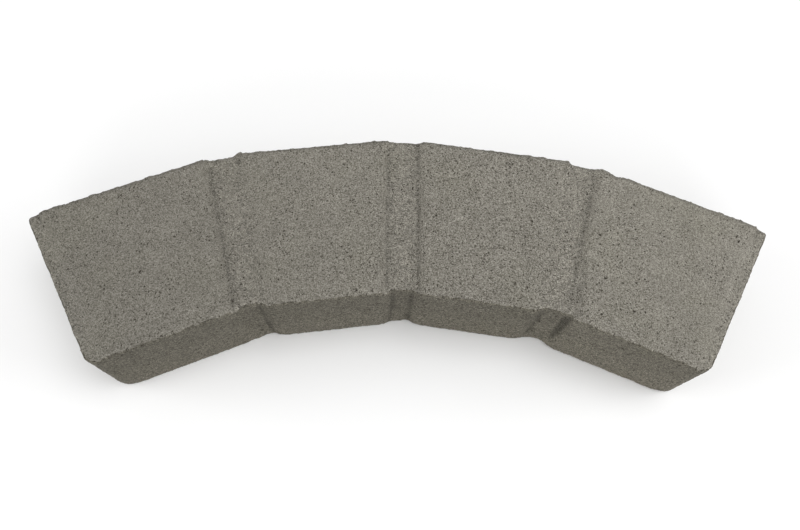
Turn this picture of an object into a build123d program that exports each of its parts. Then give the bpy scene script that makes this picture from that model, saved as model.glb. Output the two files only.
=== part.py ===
from build123d import *
import os
from math import cos, radians, tan

# A curved concrete edging stone, pressed in one mould. It reads as a row of setts on a bend:
# each sett has a flat front, back and top, and shallow false joints part one from the next.
# It lies flat, with its hollow side towards -Y and the middle of its underside's box at the origin.

# The bend: a ring of equal setts, measured to the middle of their flat front faces
sett_count = 4
setts_in_ring = 24
inner_radius = 331.0
stone_depth = 100.0
stone_height = 60.0

# False joints across the top, whose walls slope so that the stone leaves its mould
top_joint_width = 22.0
top_joint_depth = 3.8
top_joint_slope = 25.0
joint_inset = 3.2

# The same joints down the hollow front: a little narrower than the top's, with splayed walls
front_joint_lip = 1.5
front_joint_depth = 3.2
front_joint_slope = 52.0
front_edge_radius = 1.5

# Under the joints, the corners of the round back are only flattened, as far as this lip
back_flat_lip = 1.6

# Half joints at the two ends, which make a whole one with the next stone
end_joint_width = 8.5
end_joint_depth = 3.0
end_joint_lip = 3.2
end_corner_slope = 45.0

# The worn edge round the top of each sett
arris_radius = 0.8

half_sett = 180.0 / setts_in_ring
end_angle = sett_count * half_sett
face_fall = tan(radians(half_sett))
outer_radius = inner_radius + stone_depth
front_corner = inner_radius / cos(radians(half_sett))
back_corner = outer_radius / cos(radians(half_sett))
corner_lines = [(2 * place - sett_count) * half_sett for place in range(1, sett_count)]


def turned(line_angle, shape):
    """Turn a shape drawn about the +Y line to its own line of the ring."""
    return Rot(0, 0, -line_angle) * shape


def joint_shift(line_angle):
    """How far a false joint stands to the right of its corner: it sits towards the middle."""
    return joint_inset * ((line_angle < 0) - (line_angle > 0))


def sett_plan():
    """The four straight sides of one sett, seen from above."""
    half_front = inner_radius * face_fall
    half_back = outer_radius * face_fall
    sides = Polyline(
        (-half_front, inner_radius),
        (half_front, inner_radius),
        (half_back, outer_radius),
        (-half_back, outer_radius),
        close=True,
    )
    return make_face(sides)


def front_joint_plan(shift):
    """The groove of a false joint in the hollow front: a flat floor between splayed walls."""
    half_mouth = top_joint_width / 2 - front_joint_lip
    left_mouth = shift - half_mouth
    right_mouth = shift + half_mouth
    left_face = front_corner - abs(left_mouth) * face_fall
    right_face = front_corner - abs(right_mouth) * face_fall
    floor = max(left_face, right_face) + front_joint_depth
    splay = tan(radians(front_joint_slope))
    reach = front_joint_depth
    walls = Polyline(
        (left_mouth - reach * splay, left_face - reach),
        (left_mouth + (floor - left_face) * splay, floor),
        (right_mouth - (floor - right_face) * splay, floor),
        (right_mouth + reach * splay, right_face - reach),
        close=True,
    )
    return make_face(walls)


def end_corner_plan():
    """The slope that half a front joint leaves at an end, drawn with its mirror image."""
    half_mouth = end_joint_width - end_joint_lip
    face = front_corner - half_mouth * face_fall
    splay = tan(radians(end_corner_slope))
    reach = half_mouth
    walls = Polyline(
        (-half_mouth - reach * splay, face - reach),
        (0, face + half_mouth / splay),
        (half_mouth + reach * splay, face - reach),
        close=True,
    )
    return make_face(walls)


def back_flat_plan():
    """What a flattened corner of the round back loses."""
    half_flat = top_joint_width / 2 - joint_inset - back_flat_lip
    flat = back_corner - half_flat * face_fall
    return Pos(0, flat + half_flat) * Rectangle(2 * top_joint_width, 2 * half_flat)


def top_joint(width, depth):
    """A channel across the top, longer than the ring is deep, with walls that splay upwards."""
    half_mouth = width / 2
    splay = depth * tan(radians(top_joint_slope))
    section = Polyline(
        (-half_mouth + splay, stone_height - depth),
        (half_mouth - splay, stone_height - depth),
        (half_mouth + splay, stone_height + depth),
        (-half_mouth - splay, stone_height + depth),
        close=True,
    )
    return extrude(Plane.XZ * make_face(section), amount=-(outer_radius + stone_depth))


# The outline seen from above: the row of setts, then the joints down its front and back
plan = Sketch()
for place in range(sett_count):
    plan += turned((2 * place + 1 - sett_count) * half_sett, sett_plan())
for line_angle in corner_lines:
    plan -= turned(line_angle, front_joint_plan(joint_shift(line_angle)))
    plan -= turned(line_angle, back_flat_plan())
for line_angle in (-end_angle, end_angle):
    plan -= turned(line_angle, end_corner_plan())

# The joints' standing edges at the front are rounded
middle_radius = inner_radius + stone_depth / 2
front_edges = [edge for edge in plan.vertices() if Vector(edge.X, edge.Y).length < middle_radius]
plan = fillet(front_edges, front_edge_radius)

stone = extrude(plan, amount=stone_height)

# The channels across the top, and the half channels at the ends
for line_angle in corner_lines:
    channel = Pos(joint_shift(line_angle), 0, 0) * top_joint(top_joint_width, top_joint_depth)
    stone -= turned(line_angle, channel)
for line_angle in (-end_angle, end_angle):
    stone -= turned(line_angle, top_joint(2 * end_joint_width, end_joint_depth))

sett_tops = stone.faces().filter_by(Axis.Z).group_by(Axis.Z)[-1]
stone = fillet(sett_tops.edges(), arris_radius)

# The middle of the underside's box goes to the origin
box_middle = stone.bounding_box().center()
kerb_stone = Pos(-box_middle.X, -box_middle.Y, 0) * stone

os.makedirs("parts", exist_ok=True)
export_step(kerb_stone, "parts/kerb_stone.step")
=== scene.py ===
import math

import bpy
from mathutils import Matrix, Vector


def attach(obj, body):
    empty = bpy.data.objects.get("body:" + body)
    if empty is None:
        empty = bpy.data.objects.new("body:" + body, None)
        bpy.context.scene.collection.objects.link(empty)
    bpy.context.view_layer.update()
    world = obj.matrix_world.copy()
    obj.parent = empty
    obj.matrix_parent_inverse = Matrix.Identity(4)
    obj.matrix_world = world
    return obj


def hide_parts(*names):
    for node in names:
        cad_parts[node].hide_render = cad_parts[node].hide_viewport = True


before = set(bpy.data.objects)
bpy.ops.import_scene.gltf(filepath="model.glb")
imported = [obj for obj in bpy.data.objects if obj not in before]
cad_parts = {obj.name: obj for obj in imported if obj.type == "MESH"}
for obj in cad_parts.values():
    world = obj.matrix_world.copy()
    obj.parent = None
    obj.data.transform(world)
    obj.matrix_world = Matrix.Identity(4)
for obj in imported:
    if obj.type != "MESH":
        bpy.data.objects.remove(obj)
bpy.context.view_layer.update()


# The kerb stone is one casting of dry, sandy concrete, stamped into a steel mould and lifted out
# at once. That leaves an open skin of sand grains with small holes between them, arrises that
# have crumbled a little, and a plain underside where it stood on its board. It has no coat.
casting = bpy.data.objects.new("kerb_casting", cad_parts["kerb_stone"].data.copy())
bpy.context.scene.collection.objects.link(casting)
casting.data.materials.clear()


def take(piece):
    """Select one piece and nothing else."""
    bpy.ops.object.select_all(action="DESELECT")
    piece.select_set(True)
    bpy.context.view_layer.objects.active = piece


def finish_with(piece, kind, **settings):
    """Put one modifier on a piece and apply it."""
    take(piece)
    made = piece.modifiers.new(kind.lower(), kind)
    for setting, value in settings.items():
        setattr(made, setting, value)
    bpy.ops.object.modifier_apply(modifier=made.name)


def pebbles(name, rows):
    """One loose heap of round lumps: each row is a place and three half sizes, in millimetres."""
    heap = []
    for place, halves in rows:
        bpy.ops.object.select_all(action="DESELECT")
        bpy.ops.mesh.primitive_ico_sphere_add(subdivisions=3, radius=1.0)
        lump = bpy.context.object
        lump.scale = [half / 1000 for half in halves]
        lump.location = [length / 1000 for length in place]
        bpy.ops.object.transform_apply(location=True, rotation=True, scale=True)
        heap.append(lump)
    for lump in heap:
        lump.select_set(True)
    bpy.ops.object.join()
    heap = bpy.context.object
    heap.name = name
    return heap


# The model's faces come loose, and are joined where their corners meet
same_place = 0.00001
take(casting)
bpy.ops.object.mode_set(mode="EDIT")
bpy.ops.mesh.select_all(action="SELECT")
bpy.ops.mesh.remove_doubles(threshold=same_place)
bpy.ops.object.mode_set(mode="OBJECT")

# Corners that broke away when it left the mould: at the back of the left end, in three places
# along the back's top edge, at the feet of the front, and beside the third joint, down the front
# and along its channel
chips = pebbles("chips", (
    ((-219.5, 17.0, 56.0), (5.0, 3.0, 40.0)),
    ((-78.3, 64.6, 61.0), (2.6, 3.2, 2.0)),
    ((8.0, 75.2, 62.0), (8.0, 4.6, 4.0)),
    ((129.8, 52.6, 61.0), (3.4, 7.0, 4.4)),
    ((-163.0, -73.6, -1.5), (8.0, 4.8, 5.0)),
    ((-74.5, -41.0, -1.5), (7.0, 3.6, 4.5)),
    ((9.7, -32.5, -1.5), (6.0, 3.4, 4.0)),
    ((71.9, -40.4, -1.5), (3.5, 3.2, 3.5)),
    ((89.6, -43.6, -1.5), (5.5, 3.8, 5.0)),
    ((104.0, -49.6, -1.5), (2.6, 3.0, 2.5)),
    ((90.8, -41.6, 45.0), (3.8, 3.0, 40.0)),
    ((95.5, -38.2, 60.6), (2.8, 5.5, 2.8)),
    ((97.4, -30.2, 60.4), (2.4, 5.0, 2.3)),
    ((99.8, -22.4, 60.6), (2.7, 4.6, 2.7)),
    ((101.6, -14.6, 60.5), (2.2, 5.2, 2.2)),
    ((103.9, -6.4, 60.6), (2.4, 4.4, 2.3)),
    ((159.5, -72.6, -1.5), (9.0, 4.3, 4.5)),
))
finish_with(casting, "BOOLEAN", object=chips, operation="DIFFERENCE", solver="EXACT", use_self=True)
bpy.data.objects.remove(chips)

# Fuller corners at the back of the channels, and at the feet of the front joints
lumps = pebbles("lumps", (
    ((-99.9, 57.4, 57.0), (2.2, 2.8, 3.0)),
    ((-97.2, 58.2, 57.2), (2.4, 2.6, 2.8)),
    ((-116.4, 51.8, 56.4), (3.4, 3.4, 3.0)),
    ((-8.4, 68.4, 57.0), (3.4, 2.8, 3.0)),
    ((99.6, 57.0, 56.6), (3.4, 3.0, 3.0)),
    ((117.0, 51.6, 56.0), (2.6, 3.0, 3.0)),
    ((-91.2, -37.8, 0.0), (7.0, 3.2, 30.0)),
    ((-84.0, -34.6, 0.0), (7.0, 3.2, 30.0)),
    ((-4.5, -24.9, 0.0), (9.0, 3.0, 30.0)),
    ((82.0, -34.4, 0.0), (8.0, 2.8, 26.0)),
))
take(lumps)
bpy.ops.object.mode_set(mode="EDIT")
bpy.ops.mesh.select_all(action="SELECT")
bpy.ops.mesh.bisect(plane_co=(0, 0, 0), plane_no=(0, 0, 1), clear_inner=True, use_fill=True)
bpy.ops.object.mode_set(mode="OBJECT")
take(casting)
lumps.select_set(True)
bpy.ops.object.join()

# One even skin over the stone and its lumps, fine enough for the pits
skin_step = 0.0008
finish_with(casting, "REMESH", mode="VOXEL", voxel_size=skin_step, use_smooth_shade=True)

# The relief of the skin. Every hollow goes inwards from the mould's face, so that the stone never
# grows past its size.
relief = bpy.data.node_groups.new("open_skin", "GeometryNodeTree")
relief.interface.new_socket("Geometry", in_out="INPUT", socket_type="NodeSocketGeometry")
relief.interface.new_socket("Geometry", in_out="OUTPUT", socket_type="NodeSocketGeometry")
spot = relief.nodes.new("GeometryNodeInputPosition").outputs[0]
normal = relief.nodes.new("GeometryNodeInputNormal").outputs[0]


def noise(place, to_the_metre, detail, rough=0.5):
    """A noise over the stone, with so many waves to the metre."""
    tree = place.id_data
    made = tree.nodes.new("ShaderNodeTexNoise")
    made.inputs["Scale"].default_value = to_the_metre
    made.inputs["Detail"].default_value = detail
    made.inputs["Roughness"].default_value = rough
    tree.links.new(place, made.inputs["Vector"])
    return made.outputs[0]


def sums(kind, first, second):
    """One sum of two values, of which one may be a plain number."""
    tree = [value for value in (first, second) if not isinstance(value, float)][0].id_data
    made = tree.nodes.new("ShaderNodeMath")
    made.operation = kind
    for socket, value in zip(made.inputs, (first, second)):
        if isinstance(value, float):
            socket.default_value = value
        else:
            tree.links.new(value, socket)
    return made.outputs[0]


def plus(first, second):
    """Two values added."""
    return sums("ADD", first, second)


def minus(first, second):
    """The second value taken from the first."""
    return sums("SUBTRACT", first, second)


def times(first, second):
    """Two values multiplied."""
    return sums("MULTIPLY", first, second)


def arrows(kind, first, second):
    """One sum of two arrows, or of an arrow and the value that it is scaled by."""
    tree = first.id_data
    made = tree.nodes.new("ShaderNodeVectorMath")
    made.operation = kind
    tree.links.new(first, made.inputs[0])
    tree.links.new(second, made.inputs["Scale" if kind == "SCALE" else 1])
    return made.outputs["Value" if kind == "DOT_PRODUCT" else 0]


def stretch(value, low, high, out_low, out_high):
    """A value's range from low to high, spread smoothly over a new range."""
    tree = value.id_data
    made = tree.nodes.new("ShaderNodeMapRange")
    made.interpolation_type = "SMOOTHSTEP"
    tree.links.new(value, made.inputs["Value"])
    made.inputs["From Min"].default_value = low
    made.inputs["From Max"].default_value = high
    made.inputs["To Min"].default_value = out_low
    made.inputs["To Max"].default_value = out_high
    return made.outputs["Result"]


def band(value, start, full, leaving, gone):
    """One between two places on a value, and nothing well outside them."""
    return times(stretch(value, start, full, 0.0, 1.0), stretch(value, leaving, gone, 1.0, 0.0))


def part(arrow, axis):
    """How far an arrow reaches along one axis."""
    tree = arrow.id_data
    made = tree.nodes.new("ShaderNodeSeparateXYZ")
    tree.links.new(arrow, made.inputs[0])
    return made.outputs[axis]


def lean(rounds):
    """How far a spot is from where it would lie if the skin were smoothed so many times."""
    made = relief.nodes.new("GeometryNodeBlurAttribute")
    made.data_type = "FLOAT_VECTOR"
    made.inputs["Iterations"].default_value = rounds
    relief.links.new(spot, [i for i in made.inputs if i.name == "Value" and i.type == "VECTOR"][0])
    return arrows("SUBTRACT", [o for o in made.outputs if o.type == "VECTOR"][0], spot)


# The stone is part of a ring, whose middle lies this far in front of the middle of the stone. The
# outer joints stand 15 degrees to each side of it, a little nearer to the middle, and the ends 30.
ring_middle = 0.36258
joint_turn = 15.0
joint_shift = 0.0032
end_turn = 30.0


def across(place, line_turn, shift):
    """How far a place lies from a line of the ring, towards the middle of the stone."""
    tree = place.id_data
    either_side = tree.nodes.new("ShaderNodeMath")
    either_side.operation = "ABSOLUTE"
    tree.links.new(part(place, "X"), either_side.inputs[0])
    inward = times(either_side.outputs[0], -math.cos(math.radians(line_turn)))
    outward = times(plus(part(place, "Y"), ring_middle), math.sin(math.radians(line_turn)))
    return minus(plus(inward, outward), shift)


def ring_distance(place):
    """How far a place lies from the middle of the ring."""
    along = part(place, "X")
    out = plus(part(place, "Y"), ring_middle)
    return sums("POWER", plus(times(along, along), times(out, out)), 0.5)


# Of the outer channels and the ends, the walls that face away from the middle of the stone are
# rubbed round, and so is the left wall of the first front joint. A band gives where the rubbing
# starts, is full, leaves off and is gone, in metres.
channel_wall = (0.0055, 0.008, 0.012, 0.0145)
end_wall = (0.0025, 0.005, 0.01, 0.0125)
near_the_top = (0.053, 0.055, 0.0, 1.0)
between_front_and_back = (0.333, 0.339, 0.421, 0.428)
joint_wall = (-0.013, -0.009, -0.004, 0.0)
left_of_the_middle = (-0.05, -0.06, 0.0, 1.0)
between_foot_and_top = (0.0, 0.006, 0.052, 0.056)
near_the_front = (0.345, 0.35, 1.0, 0.0)
wall_rounds = 40
far_out = ring_distance(spot)
from_joint = across(spot, joint_turn, joint_shift)
rubbed = plus(band(from_joint, *channel_wall), band(across(spot, end_turn, 0.0), *end_wall))
rubbed = times(rubbed, stretch(part(spot, "Z"), *near_the_top))
rubbed = times(rubbed, band(far_out, *between_front_and_back))
left_joint = band(from_joint, *joint_wall)
left_joint = times(left_joint, stretch(part(spot, "X"), *left_of_the_middle))
left_joint = times(left_joint, band(part(spot, "Z"), *between_foot_and_top))
left_joint = times(left_joint, stretch(far_out, *near_the_front))
rubbed = plus(rubbed, left_joint)
eased = relief.nodes.new("GeometryNodeSetPosition")
relief.links.new(relief.nodes.new("NodeGroupInput").outputs[0], eased.inputs["Geometry"])
relief.links.new(arrows("SCALE", lean(wall_rounds), rubbed), eased.inputs["Offset"])

# Wear: the skin leans towards its own smoothed shape, by patches, which rounds the arrises
wear_rounds = 10
least_wear = 0.25
near_lean = lean(wear_rounds)
patches = stretch(noise(spot, 90.0, 2.0), 0.35, 0.65, least_wear, 1.0)
worn = arrows("SCALE", near_lean, patches)
bulge = times(arrows("DOT_PRODUCT", near_lean, normal), -1.0)
slight_bulge = 0.00005
full_bulge = 0.0005
convex = stretch(bulge, slight_bulge, full_bulge, 0.0, 1.0)
crevice = stretch(bulge, -full_bulge, -slight_bulge, 1.0, 0.0)

# The open skin is a slow swell, with crumbs off the arrises, sand grains and pits, and the mould
# pressed flat what is shallowest. Pits lie in swarms, closest on the third sett and along edges.
swell_depth = 0.0004
uneven_depth = 0.00015
crumb_depth = 0.0018
grain_depth = 0.0007
pit_depth = 0.0007
pressed_flat = 0.00035
pit_radius = 0.001
pits_to_the_metre = 200.0
pit_swarms = (0.44, 0.68, 0.04, 0.75)
more_on_the_third_sett = 0.08
more_along_edges = 0.15


def crowding(place, edges):
    """How closely the pits lie at a place, given how much of an edge it is."""
    third_sett = band(part(place, "X"), -0.1, 0.05, 0.08, 0.16)
    more = plus(times(third_sett, more_on_the_third_sett), times(edges, more_along_edges))
    return plus(noise(place, 50.0, 3.0, 0.8), more)


def pits(place, to_the_metre, share, radius):
    """Round pits with ragged rims, one in a share of the cells of a loose grid."""
    raggedness = 0.002
    tree = place.id_data
    ragged = tree.nodes.new("ShaderNodeTexNoise")
    ragged.inputs["Scale"].default_value = 700.0
    ragged.inputs["Detail"].default_value = 1.0
    tree.links.new(place, ragged.inputs["Vector"])
    shake = tree.nodes.new("ShaderNodeVectorMath")
    shake.operation = "SCALE"
    shake.inputs["Scale"].default_value = raggedness
    tree.links.new(ragged.outputs["Color"], shake.inputs[0])
    cells = tree.nodes.new("ShaderNodeTexVoronoi")
    cells.inputs["Scale"].default_value = to_the_metre
    tree.links.new(arrows("ADD", place, shake.outputs[0]), cells.inputs["Vector"])
    rim = radius * to_the_metre
    near = stretch(cells.outputs["Distance"], 0.6 * rim, rim, 1.0, 0.0)
    return times(near, sums("LESS_THAN", part(cells.outputs["Color"], "X"), share))


pit_share = stretch(crowding(spot, plus(convex, crevice)), *pit_swarms)
loose = noise(spot, 210.0, 2.0)
depth = times(noise(spot, 60.0, 3.0), swell_depth)
crumbs = times(convex, stretch(loose, 0.32, 0.68, 0.0, crumb_depth))
depth = plus(depth, plus(crumbs, times(loose, uneven_depth)))
depth = plus(depth, times(noise(spot, 520.0, 2.0, 0.6), grain_depth))
depth = plus(depth, times(pits(spot, pits_to_the_metre, pit_share, pit_radius), pit_depth))
depth = sums("MAXIMUM", minus(depth, pressed_flat), 0.0)
underside_spared = (-0.98, -0.8, 0.0, 1.0)
depth = times(depth, stretch(part(normal, "Z"), *underside_spared))
inwards = arrows("SCALE", normal, times(depth, -1.0))
step = arrows("ADD", worn, inwards)


def keep(name, value, came):
    """Keep a value on the skin for the material to read."""
    made = relief.nodes.new("GeometryNodeStoreNamedAttribute")
    made.data_type = "FLOAT"
    made.domain = "POINT"
    made.inputs["Name"].default_value = name
    relief.links.new(came, made.inputs["Geometry"])
    relief.links.new(value, made.inputs["Value"])
    return made.outputs["Geometry"]


joint_rounds = 60
joint_hollow = (0.0001, 0.0009, 0.0, 1.0)
skin = keep("level", part(normal, "Z"), eased.outputs["Geometry"])
skin = keep("arris", convex, skin)
skin = keep("crevice", crevice, skin)
hollow = arrows("DOT_PRODUCT", lean(joint_rounds), normal)
skin = keep("deep", stretch(hollow, *joint_hollow), skin)
move = relief.nodes.new("GeometryNodeSetPosition")
relief.links.new(skin, move.inputs["Geometry"])
relief.links.new(step, move.inputs["Offset"])
relief.links.new(move.outputs["Geometry"], relief.nodes.new("NodeGroupOutput").inputs[0])
finish_with(casting, "NODES", node_group=relief)

triangles_wanted = 190000
triangles_now = sum(len(face.vertices) - 2 for face in casting.data.polygons)
finish_with(casting, "DECIMATE", decimate_type="COLLAPSE", ratio=triangles_wanted / triangles_now)

# The concrete is warm grey cement over sand, dull all over
concrete = bpy.data.materials.new("dry_cast_concrete")
concrete.use_nodes = True
tree = concrete.node_tree
surface = tree.nodes["Principled BSDF"]
surface.inputs["Roughness"].default_value = 0.95
surface.inputs["Specular IOR Level"].default_value = 0.2
where = tree.nodes.new("ShaderNodeTexCoord").outputs["Object"]
along = part(where, "X")
back = part(where, "Y")
height = part(where, "Z")


def ramp(value, *stops):
    """Colours along a value: each stop is its place and its colour."""
    made = tree.nodes.new("ShaderNodeValToRGB")
    while len(made.color_ramp.elements) < len(stops):
        made.color_ramp.elements.new(0.5)
    for element, (place, colour) in zip(made.color_ramp.elements, stops):
        element.position = place
        element.color = (*colour, 1)
    tree.links.new(value, made.inputs["Fac"])
    return made.outputs["Color"]


def mixed(share, first, second, blend="MIX"):
    """Two colours, mixed by a share that is a number or a socket."""
    made = tree.nodes.new("ShaderNodeMix")
    made.data_type = "RGBA"
    made.blend_type = blend
    if isinstance(share, float):
        made.inputs["Factor"].default_value = share
    else:
        tree.links.new(share, made.inputs["Factor"])
    for socket, colour in (("A", first), ("B", second)):
        socket = [i for i in made.inputs if i.name == socket and i.type == "RGBA"][0]
        if isinstance(colour, tuple):
            socket.default_value = (*colour, 1)
        else:
            tree.links.new(colour, socket)
    return [o for o in made.outputs if o.type == "RGBA"][0]


def kept(name):
    """A value that the skin keeps."""
    made = tree.nodes.new("ShaderNodeAttribute")
    made.attribute_name = name
    return made.outputs["Fac"]


def lowered(tone, value, most):
    """A tone, darker by up to a share where a value is one."""
    return times(tone, minus(1.0, times(value, most)))


# Sand grains, dark to pale, which stand out most on the third sett
livelier_to_the_third = (-0.12, 0.03, 0.9, 1.1)
calmer_past_the_third = (0.08, 0.16, 0.0, -0.2)
lively = plus(stretch(along, *livelier_to_the_third), stretch(along, *calmer_past_the_third))
grain = times(minus(noise(where, 1500.0, 2.0, 0.7), 0.5), lively)
grains = ramp(
    plus(grain, 0.5),
    (0.32, (0.0551, 0.0496, 0.0375)),
    (0.45, (0.1602, 0.1499, 0.1262)),
    (0.56, (0.2267, 0.2140, 0.1846)),
    (0.72, (0.3661, 0.3493, 0.3098)),
)
plain = (1, 1, 1)
faintly_warm = (0.99, 0.995, 0.975)
blotch = ramp(noise(where, 28.0, 3.0), (0.45, plain), (0.7, faintly_warm))
colour = mixed(1.0, grains, blotch, "MULTIPLY")

# The sides, pressed on the mould's steel, are closer and warmer than the top, and carry painted
# shade that darkens them, most high up and towards the right, with painted light at their feet
# for the light thrown up from the floor. The channel floors are paler, partly from dust and partly
# painted light that lifts their shade, and painted light brightens the whole stone from left to
# right and from front to back. A tone is given at two places, in metres first, and the third
# sett's over a band.
side_painted_shade_by_height = (0.004, 0.05, 0.755, 0.612)
foot_painted_light = (0.001, 0.008, 0.06, 0.0)
right_side_painted_shade = (0.08, 0.16, 1.0, 0.93)
channel_dust_and_painted_light = (0.056, 0.0568, 1.06, 1.0)
painted_light_left_to_right = (-0.3, 0.3, 0.85, 1.15)
painted_light_front_to_back = (-0.08, 0.08, 0.93, 1.03)
third_sett_at = (-0.02, 0.03, 0.08, 0.12)
third_sett_tone = 0.97
warm_side = (0.99, 0.972, 0.912)
level_skin = stretch(kept("level"), 0.05, 0.5, 0.0, 1.0)
steep = minus(1.0, level_skin)
# Painted shade on the sides, painted light at their feet and in the channels, and painted light
# from left to right and from front to back
side_painted_shade_and_light = plus(stretch(height, *side_painted_shade_by_height), stretch(height, *foot_painted_light))
side_painted_shade_and_light = times(side_painted_shade_and_light, stretch(along, *right_side_painted_shade))
tone = times(level_skin, minus(stretch(height, *channel_dust_and_painted_light), side_painted_shade_and_light))
tone = plus(tone, side_painted_shade_and_light)
tone = times(tone, stretch(along, *painted_light_left_to_right))
tone = times(tone, stretch(back, *painted_light_front_to_back))
tone = times(tone, stretch(noise(where, 90.0, 3.0), 0.3, 0.7, 0.96, 1.04))
tone = times(tone, stretch(band(along, *third_sett_at), 0.0, 1.0, 1.0, third_sett_tone))

# Arrises are rubbed pale and carry a painted highlight. The arris along the top of the back
# carries painted shade, and the crevices and the joints down the front are darkened with painted
# shade. The setts' flat backs are square to lines 7.5 and 22.5 degrees to each side of the ring's
# middle line, and this far from its middle.
back_face = 0.431
square = 90.0
inner_sett_turn = 7.5
outer_sett_turn = 22.5
back_arris_at = (-0.0042, -0.0022, 0.0, 1.0)
arris_wear_and_highlight = 0.1
back_arris_painted_shade = 0.19
crevice_painted_shade = 0.26
joint_painted_shade = 0.42
behind_inner_setts = across(where, square + inner_sett_turn, back_face)
behind_outer_setts = across(where, square + outer_sett_turn, back_face)
behind = sums("MAXIMUM", behind_inner_setts, behind_outer_setts)
# Painted highlight on the arrises, and painted shade along the back's top arris, in the crevices
# and in the front joints
tone = times(tone, plus(1.0, times(kept("arris"), arris_wear_and_highlight)))
tone = lowered(tone, times(stretch(behind, *back_arris_at), level_skin), back_arris_painted_shade)
tone = lowered(tone, kept("crevice"), crevice_painted_shade)
tone = lowered(tone, times(steep, kept("deep")), joint_painted_shade)

# The sides and the channels, pressed by the mould, show the coarser sand
sett_top_at = (0.0566, 0.059, 0.0, 1.0)
coarse_sand = 0.28
top_skin = times(level_skin, stretch(height, *sett_top_at))
coarse = stretch(noise(where, 650.0, 2.0, 0.6), 0.3, 0.7, -coarse_sand, coarse_sand)
tone = times(tone, plus(1.0, times(coarse, minus(1.0, top_skin))))
colour = mixed(steep, colour, warm_side, "MULTIPLY")
colour = arrows("SCALE", colour, tone)

# The pits are dark inside, partly darker matter and partly painted shade, and the pin holes between
# them, too small to model, are dots of painted shade
dark_pit_radius = 0.00085
pins_to_the_metre = 550.0
pin_radius = 0.00055
pin_swarms = (0.42, 0.68, 0.15, 1.0)
more_on_the_sides = 0.08
pit_matter_and_shade = (0.042, 0.036, 0.028)
crowded = crowding(where, plus(kept("arris"), kept("crevice")))
crowded = plus(crowded, times(steep, more_on_the_sides))
dark_pits = pits(where, pits_to_the_metre, stretch(crowded, *pit_swarms), dark_pit_radius)
# Painted shade in the pits and in the pin holes
colour = mixed(dark_pits, colour, pit_matter_and_shade)
pins = pits(where, pins_to_the_metre, stretch(crowded, *pin_swarms), pin_radius)
colour = mixed(pins, colour, pit_matter_and_shade)
tree.links.new(colour, surface.inputs["Base Color"])

# The finest grains only catch the light
bump = tree.nodes.new("ShaderNodeBump")
bump.inputs["Strength"].default_value = 0.6
bump.inputs["Distance"].default_value = 0.0003
tree.links.new(noise(where, 1400.0, 3.0, 0.6), bump.inputs["Height"])
tree.links.new(bump.outputs["Normal"], surface.inputs["Normal"])
casting.data.materials.append(concrete)

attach(casting, "root")
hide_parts("kerb_stone")


# The floor is a plain pale board, painted dull white, far wider than the picture.
# The stone lies loose on it.
floor_width = 8.0
bpy.ops.object.select_all(action="DESELECT")
bpy.ops.mesh.primitive_plane_add(size=floor_width)
board = bpy.context.object
board.name = "pale_floor"
pale = bpy.data.materials.new("pale_board")
pale.use_nodes = True
pale.node_tree.nodes["Principled BSDF"].inputs["Base Color"].default_value = (0.9, 0.9, 0.9, 1)
pale.node_tree.nodes["Principled BSDF"].inputs["Roughness"].default_value = 0.9
board.data.materials.append(pale)

# Soft light comes from the whole room. Wide lamps stand low at both ends and in front, and one
# hangs high on the right. Each row gives a lamp, how far it is turned round and raised, in
# degrees, and its power.
room = bpy.data.worlds.new("room_light")
room.use_nodes = True
room.node_tree.nodes["Background"].inputs["Color"].default_value = (1, 1, 1, 1)
room.node_tree.nodes["Background"].inputs["Strength"].default_value = 0.54
bpy.context.scene.world = room

lamp_far = 3.0
lamp_width = 1.8
lamp_aim = Vector((0, 0, 0.03))
for name, turned_to, raised, power in (
    ("left_lamp", 182.0, 18.0, 45.0),
    ("right_lamp", 358.0, 18.0, 42.0),
    ("front_lamp", 270.0, 18.0, 25.0),
    ("high_lamp", 0.0, 72.0, 33.0),
):
    lamp = bpy.data.objects.new(name, bpy.data.lights.new(name, "AREA"))
    lamp.data.size = lamp_width
    lamp.data.energy = power
    flat = lamp_far * math.cos(math.radians(raised))
    lamp.location = lamp_aim + Vector((
        flat * math.cos(math.radians(turned_to)),
        flat * math.sin(math.radians(turned_to)),
        lamp_far * math.sin(math.radians(raised)),
    ))
    lamp.rotation_euler = (lamp_aim - lamp.location).to_track_quat("-Z", "Y").to_euler()
    bpy.context.scene.collection.objects.link(lamp)

# The camera looks down on the hollow side from close by, a little turned and rolled, as the
# picture was taken. Its angles are in radians and its place in metres.
picture_width = 800
sensor = 36.0
focal_pixels = 674.43
camera = bpy.data.objects.new("camera", bpy.data.cameras.new("camera"))
camera.data.sensor_width = sensor
camera.data.lens = focal_pixels / picture_width * sensor
camera.data.clip_start = 0.01
camera.data.clip_end = 20.0
look_down = 1.18145
turn = 0.07136
roll = 0.0847
flat_reach = math.cos(look_down)
ahead = Vector((math.sin(turn) * flat_reach, math.cos(turn) * flat_reach, -math.sin(look_down)))
level = Vector((math.cos(turn), -math.sin(turn), 0))
upright = level.cross(ahead)
side = math.cos(roll) * level + math.sin(roll) * upright
top = math.cos(roll) * upright - math.sin(roll) * level
camera_place = (-0.011926, -0.156897, 0.412066)
turned = Matrix((side, top, -ahead)).transposed().to_4x4()
camera.matrix_world = Matrix.Translation(camera_place) @ turned
bpy.context.scene.collection.objects.link(camera)
bpy.context.scene.camera = camera

bpy.context.scene.view_settings.view_transform = "Standard"
